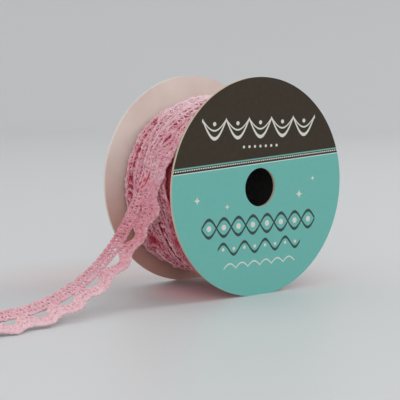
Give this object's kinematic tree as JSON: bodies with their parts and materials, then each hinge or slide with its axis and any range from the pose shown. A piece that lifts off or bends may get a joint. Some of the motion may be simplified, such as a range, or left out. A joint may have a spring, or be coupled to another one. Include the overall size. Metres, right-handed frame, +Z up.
{
  "type": "lace ribbon on a card reel",
  "caption": "Narrow crocheted lace ribbon with a scalloped edge, wound on a two-disc card reel, with a loose end that runs down to the surface.",
  "frame": {"origin": "on the surface, under the middle of the whole thing", "axes": "+Z up, the reel's axis along Y with the printed disc facing -Y, the loose end running off towards -X"},
  "size_m": [0.1302, 0.0406, 0.0647],
  "materials": {
    "printed_card": "card with a satin two-colour print",
    "bare_card": "bare pale card",
    "tube": "dark and matt",
    "cotton": "pink crochet cotton"
  },
  "bodies": {
    "root": {"disc_printed": "printed_card", "disc_back": "bare_card", "core_tube": "tube", "wound_ribbon": "cotton", "loose_end": "cotton"}
  },
  "joints": []
}
